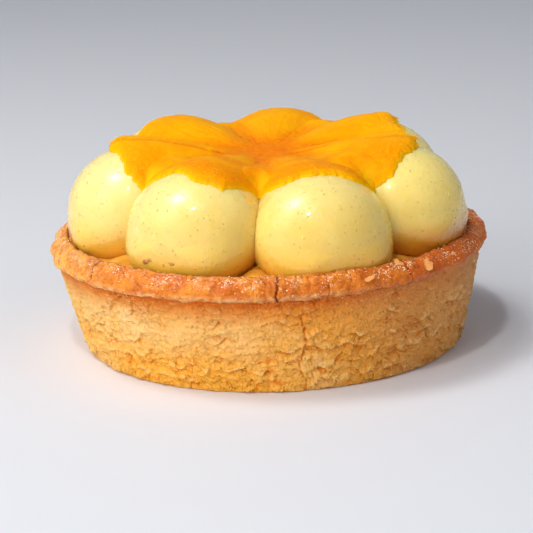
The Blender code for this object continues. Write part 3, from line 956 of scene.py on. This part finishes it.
def long_folds(flat):
    """1 on the long folds, falling to 0 beside them."""
    places = warp(flat, 0.003, 0.0005)[..., :2]
    share = np.zeros(flat.shape[:-1])
    for path in SHEET_FOLDS:
        for start, end in zip(path, path[1:]):
            start, way = np.array(start), np.array(end) - np.array(start)
            along = np.clip((places - start) @ way / (way @ way), 0.0, 1.0)
            distance = np.linalg.norm(places - start - along[..., None] * way, axis=-1)
            share = np.maximum(share, line_share(distance, FOLD_HALF_WIDTH))
    return share


def sheet_side(share, bearing, thickness):
    """Places of the sheet's upper side, the domes' height below it, and where it stands free."""
    reach = share * sheet_reach(bearing) + sheet_teeth(bearing) * ramp(share, 0.92, 1.0)
    x, y, _ = np.moveaxis(around(bearing, reach), -1, 0)
    lifted = swell(bearing, SHEET_LIFTS + SHEET_CURLS)
    free = np.clip(lifted / FREE_LIFT, 0.0, 1.0)
    widening = np.clip(reach / SHEET_SPAN_REACH, 0.0, 1.0) ** 2.5
    span = np.maximum(SHEET_SLACK * SHEET_SPAN * widening, BASIN_SOFTNESS)
    sinking = ramp(share, SHEET_EDGE_START, 1.0) * (1.0 - free)
    laid = drape(x, y, np.maximum(mix(span, SHEET_HUG, sinking), SHEET_TAUT))
    lowest = BASIN_Z - FURROW_DEPTH * ramp(share, 0.8, 0.98) * (1.0 - free)
    top = soft_max(laid + thickness, lowest, BASIN_SOFTNESS) + lifted * ramp(share, SHEET_LIFT_START, 1.0)
    return np.stack([x, y, top], axis=-1), laid, free


def build_sheet():
    inner = np.linspace(0.0, SHEET_EDGE_START, SHEET_RINGS + 1)[1:]
    outer = np.linspace(SHEET_EDGE_START, 1.0, SHEET_EDGE_RINGS + 1)[1:]
    share = np.concatenate([inner, outer])[:, None]
    bearing = (np.arange(SHEET_SEGMENTS) * 360.0 / SHEET_SEGMENTS)[None, :]
    flat = sheet_side(share, bearing, 0.0)[0] * (1.0, 1.0, 0.0)
    reach = np.linalg.norm(flat, axis=-1)
    free = np.clip(swell(bearing, SHEET_LIFTS + SHEET_CURLS) / FREE_LIFT, 0.0, 1.0)
    folds = np.maximum(CREASE_SHARE * creases(bearing, reach), long_folds(flat))
    melted = noise_sum(flat, MELTED_WAVES, MELTED_EDGE)
    edge = mix(melted - MELTED_SINK * ramp(share, 0.975, 1.0), FREE_EDGE, free)
    thickness = mix(mix(SHEET_MIDDLE, SHEET_EDGE, share ** SHEET_TAPER), edge, ramp(share, 0.945, 0.995))
    top, laid, free = sheet_side(share, bearing, thickness)
    drawn = around(bearing, 0.02, 0.25 * reach) * (1.0, -1.0, 1.0)
    fibres = noise_at(drawn, 0.0009, 8.0) * ramp(reach, 0.004, 0.012) * ramp(share, 0.84, 0.66)
    top[..., 2] += FIBRE_HEIGHT * fibres - FOLD_DEPTH * folds
    top[..., 2] += noise_sum(flat, SHEET_WAVES)

    under_share = np.linspace(1.0, inner[0], SHEET_UNDER_RINGS + 1)[1:, None]
    under, _, _ = sheet_side(under_share, bearing, mix(SHEET_MIDDLE, SHEET_EDGE, under_share ** SHEET_TAPER))
    hanging = under[..., 2] - HANGING_EDGE - HANGING_MORE * ramp(under_share, 1.0, 0.8)
    lying = drape(under[..., 0], under[..., 1], SHEET_TAUT) - LYING_SINK * ramp(under_share, 0.7, 1.0)
    under[..., 2] = np.minimum(mix(lying, hanging, free * ramp(under_share, 0.5, 0.75)), hanging)

    skin = drape(top[..., 0], top[..., 1], 0.0002)
    # Yellower where the edge is thin, and painted light: yellower where the sheet spans the shaded furrows
    # between the domes.
    thin_and_painted_light = (1.0 - ramp(top[..., 2] - skin, 0.00005, 0.0006)) * ramp(share, 0.9, 0.98)
    painted_furrow_light = ramp(laid - skin, 0.00002, 0.0003) * ramp(share, 0.82, 0.95)
    thin_and_painted_light = np.maximum(thin_and_painted_light, 0.8 * painted_furrow_light) * (1.0 - 0.7 * free)
    # Darker orange in the sunk middle, and painted shade: on the slopes, most on the front ones, along the
    # front shoulder and in the folds.
    front = ramp(np.cos(np.radians(bearing)), 0.3, 0.9)
    basin_and_shade = 0.9 * ramp(top[..., 2], 0.0374, 0.0353) * ramp(share, 0.86, 0.7)
    slope = mix(0.12, 0.42, front) * ramp(share, 0.66, 0.8) * ramp(share, 0.985, 0.9)
    shoulder = 0.5 * front * line_share(share - 0.62, 0.12)
    basin_and_shade = np.clip(np.maximum(np.maximum(basin_and_shade, shoulder), slope * (1.0 - free)) + 0.6 * folds, 0.0, 1.0)
    under_zero = np.zeros_like(hanging)
    values = {"thin_and_painted_light": np.concatenate([thin_and_painted_light, under_zero]), "basin_and_shade": np.concatenate([basin_and_shade, under_zero + 0.3])}
    places = keep_inside(np.concatenate([top, under]))
    return add_closed("gel_drape", places, values, gel_material(), "fruit_gel", "fruit_gel_sheet")


# ---- small pieces

FLAKE_COUNT = 50
SUGAR_TRIES = 5200
CONTACT_COUNT = 420
WALL_CRUMB_COUNT = 2000
BUBBLE_TRIES = 320  # for each dome
BAKED_COUNT = 60
BEAD_COUNT = 420
RIM_FLAKES = (  # broad pale flakes on the rim: bearing, distance, half length, half width
    (43, 0.0402, 0.00112, 0.00105), (35.5, 0.0386, 0.00095, 0.00075), (24.7, 0.0402, 0.00112, 0.001),
)
BAKED_SPOTS = [  # brown flecks low on the domes: bearing, height, half length
    (-36, 0.0232, 0.0008), (-34.5, 0.0236, 0.0004), (-27.5, 0.0234, 0.0006), (-30, 0.0229, 0.0003),
]


def from_above(tree, bearings, radii):
    starts = around(np.asarray(bearings), np.asarray(radii), 0.06)
    return hits(tree, starts, [(0.0, 0.0, -1.0)] * len(starts))


def from_outside(tree, bearings, heights):
    starts = around(np.asarray(bearings), 0.06, np.asarray(heights))
    return hits(tree, starts, -around(np.asarray(bearings), 1.0))


def build_rim_bits(rim_tree):
    """Pale flakes on the rim, grains of sugar in its glaze, pale partly as painted glints, and bits along its
    inner edge.
    """
    rng = np.random.default_rng(5)
    bearings = [flake[0] for flake in RIM_FLAKES] + list(rng.uniform(-180.0, 180.0, FLAKE_COUNT))
    radii = [flake[1] for flake in RIM_FLAKES] + list(rng.uniform(0.0384, 0.0408, FLAKE_COUNT))
    lengths = rng.uniform(0.0002, 0.00045, FLAKE_COUNT)
    sizes = [(length, width, 0.00009) for _, _, length, width in RIM_FLAKES]
    sizes += [(length, 0.7 * length, 0.0001) for length in lengths]
    places = from_above(rim_tree, bearings, radii)
    pale = lump_material("flake_looks", (0.82, 0.38, 0.12), (0.74, 0.27, 0.06), 0.45, 0.2)
    add_lumps("rim_flakes", "shortcrust", pale, rng, places, sizes, 2, 0.9, 0.3, False)

    bearings, radii = rng.uniform(-180.0, 180.0, SUGAR_TRIES), rng.normal(0.0395, 0.0007, SUGAR_TRIES)
    clusters = noise_at(around(bearings, radii), 0.0028, 3.0)
    gathered = clusters + 0.25 * rng.normal(0.0, 1.0, SUGAR_TRIES) > 0.12
    places = from_above(rim_tree, bearings[gathered], np.minimum(radii[gathered], 0.0408))
    sizes = scaled(rng.uniform(0.00006, 0.00016, len(places)), 1.3, 0.8, 0.5)
    # Sugar grains of the glaze; their pale pinkish white is partly painted glint.
    sugar = lump_material("sugar_and_painted_glint_looks", (0.96, 0.72, 0.52), (0.88, 0.46, 0.22), 0.12, 0.5)
    add_lumps("rim_sugar_and_painted_glints", "shortcrust", sugar, rng, places, sizes, 1, 0.3, 0.3, False)

    bearings, radii = rng.uniform(-180.0, 180.0, CONTACT_COUNT), rng.normal(0.0373, 0.00025, CONTACT_COUNT)
    places = from_above(rim_tree, bearings, radii)
    sizes = scaled(rng.uniform(0.0001, 0.00028, CONTACT_COUNT), 1.0, 0.7, 0.6)
    cream = lump_material("contact_looks", (0.94, 0.72, 0.38), (0.8, 0.38, 0.1), 0.4, 0.2)
    add_lumps("contact_crumbs", "shortcrust", cream, rng, places, sizes, 1, 0.4, 0.2)


def build_wall_bits(wall_tree):
    """Crumbs that stand out of the wall, most of them along its foot."""
    rng = np.random.default_rng(6)
    low = rng.uniform(0.0004, 0.0022, WALL_CRUMB_COUNT // 2)
    heights = np.concatenate([low, mix(0.001, 0.016, rng.random(WALL_CRUMB_COUNT // 2) ** 1.5)])
    places = from_outside(wall_tree, rng.uniform(-180.0, 180.0, WALL_CRUMB_COUNT), heights)
    lengths = rng.uniform(0.00012, 0.00032, WALL_CRUMB_COUNT)
    sizes = [(length, rng.uniform(0.6, 0.9) * length, 0.55 * length) for length in lengths]
    crumbly = bpy.data.materials["wall_looks"]
    add_lumps("wall_crumbs", "shortcrust", crumbly, rng, places, sizes, 1, 0.3, 0.45)


def build_dome_bits(dome_tree):
    """Bubbles in the custard's skin, and a few baked crumbs low on the domes."""
    rng = np.random.default_rng(7)
    starts, directions, lengths = [], [], []
    for dome in DOMES:
        middle = np.array(around(dome.bearing, dome.ring, dome.middle_z))
        for _ in range(BUBBLE_TRIES):
            way = rng.normal(size=3)
            way /= np.linalg.norm(way)
            if way @ around(dome.bearing, 1.0) < -0.1 or way[2] < -0.45:
                continue
            starts.append(middle + way * 0.03)
            directions.append(-way)
            lengths.append(rng.uniform(0.00008, 0.0002))
    places = hits(dome_tree, starts, directions)
    skin = custard_material("bubble_looks", False)
    add_lumps("custard_bubbles", "custard", skin, rng, places, scaled(lengths, 1.0, 1.0, 0.7), 1, 0.0, 0.4)

    draws = ((-180.0, 180.0), (0.0222, 0.024), (0.0001, 0.0003))
    spots = BAKED_SPOTS + list(zip(*(rng.uniform(low, high, BAKED_COUNT) for low, high in draws)))
    bearings, heights, lengths = zip(*spots)
    places = from_outside(dome_tree, bearings, heights)
    baked = lump_material("baked_looks", (0.7, 0.34, 0.09), (0.44, 0.15, 0.03), 0.4, 0.2)
    sizes = scaled(lengths, 1.0, 0.5, 0.15)
    add_lumps("custard_crumbs", "shortcrust", baked, rng, places, sizes, 2, 0.5, 0.3)


def build_gel_beads(sheet_tree):
    """Wet beads along the sheet's melted edge."""
    rng = np.random.default_rng(8)
    bearings = rng.uniform(-180.0, 180.0, BEAD_COUNT)
    bearings += 5.0 * np.sin(np.radians(bearings * 9.0))
    shares = 0.975 - 0.13 * rng.random(BEAD_COUNT) ** 1.6
    places = from_above(sheet_tree, bearings, shares * sheet_reach(bearings))
    lengths = rng.uniform(0.00005, 0.00014, BEAD_COUNT)
    sizes = [(length * rng.uniform(1.0, 2.2), length, 0.6 * length) for length in lengths]
    wet = gel_material("bead_looks", 0.35)
    mesh = add_lumps("gel_beads", "fruit_gel", wet, rng, places, sizes, 2, 0.2, 0.4).data
    for key, value in (("thin_and_painted_light", 0.6), ("basin_and_shade", 0.2)):
        mesh.attributes.new(key, "FLOAT", "POINT").data.foreach_set("value", [value] * len(mesh.vertices))


# ---- floor, light and camera

def build_floor():
    bpy.ops.mesh.primitive_plane_add(size=6.0)
    floor = bpy.context.object
    floor.name = "floor"
    n = Nodes("floor_looks")
    n.set(Base_Color=(0.72, 0.74, 0.79, 1.0), Roughness=0.6, Specular_IOR_Level=0.2)
    floor.data.materials.append(n.owner)


def add_light(name, direction, distance, size, power, colour=(1.0, 1.0, 1.0), mirrored=True):
    """Square soft light at a direction from the tart's middle, facing it; mirrored where gloss shows it."""
    data = bpy.data.lights.new(name, "AREA")
    data.shape = "SQUARE"
    data.size = size
    data.energy = power
    data.color = colour
    light = add_object(name, data)
    light.visible_glossy = mirrored
    middle = Vector((0.0, 0.0, 0.02))
    away = Vector(direction).normalized()
    light.location = middle + away * distance
    light.rotation_mode = "QUATERNION"
    light.rotation_quaternion = away.to_track_quat("Z", "Y")


HORIZON_STRENGTH = 0.42
ZENITH_STRENGTH = 0.12


def build_light():
    n = Nodes("studio", "worlds", "Background", "Generated")
    fade = {"Value": n.axis("Z"), "To Min": HORIZON_STRENGTH, "To Max": ZENITH_STRENGTH}
    n.set(Color=(0.88, 0.92, 1.0, 1.0), Strength=n.add("MapRange", "Result", fade))
    bpy.context.scene.world = n.owner
    warm = (1.0, 0.98, 0.95)
    for number, size in enumerate((0.14, 0.24, 0.34)):
        add_light(f"key_over_left_{number + 1}", (-0.42, -0.05, 0.9), 0.6 + 0.002 * number, size, 0.6, warm)
    add_light("key_small", (-0.15, -0.48, 0.84), 0.55, 0.035, 0.6)
    add_light("sheen_left", (-0.7, -0.3, 0.62), 0.75, 0.4, 0.7)
    add_light("fill_left_front", (-0.66, -0.75, 0.35), 0.9, 0.6, 4.4, (1.0, 0.97, 0.93), False)
    add_light("fill_right", (0.75, -0.45, 0.5), 0.9, 0.6, 1.0, warm, False)


TARGET = Vector((-0.000615, 0.0, 0.013138))
ELEVATION = math.radians(15.743)
ROLL = math.radians(1.849)
DISTANCE = 0.42
LENS = 149.877


def build_camera():
    data = bpy.data.cameras.new("camera")
    data.lens = LENS
    data.sensor_width = 36.0
    data.clip_start = 0.01
    data.clip_end = 20.0
    camera = add_object("camera", data)
    back = Vector((0.0, -math.cos(ELEVATION), math.sin(ELEVATION)))
    right = Vector((1.0, 0.0, 0.0))
    up = back.cross(right)
    side = math.cos(ROLL) * right - math.sin(ROLL) * up
    rise = math.sin(ROLL) * right + math.cos(ROLL) * up
    matrix = camera.matrix_world.to_3x3()
    matrix.col[0], matrix.col[1], matrix.col[2] = side, rise, back
    camera.matrix_world = matrix.to_4x4()
    camera.location = TARGET + back * DISTANCE
    bpy.context.scene.camera = camera
    bpy.context.scene.view_settings.view_transform = "Standard"


rim = build_rim()
wall = build_wall()
domes = build_domes()
build_filling()
sheet = build_sheet()
build_rim_bits(search_tree(rim))
build_wall_bits(search_tree(wall))
build_dome_bits(search_tree(*domes))
build_gel_beads(search_tree(sheet))
build_floor()
build_light()
build_camera()
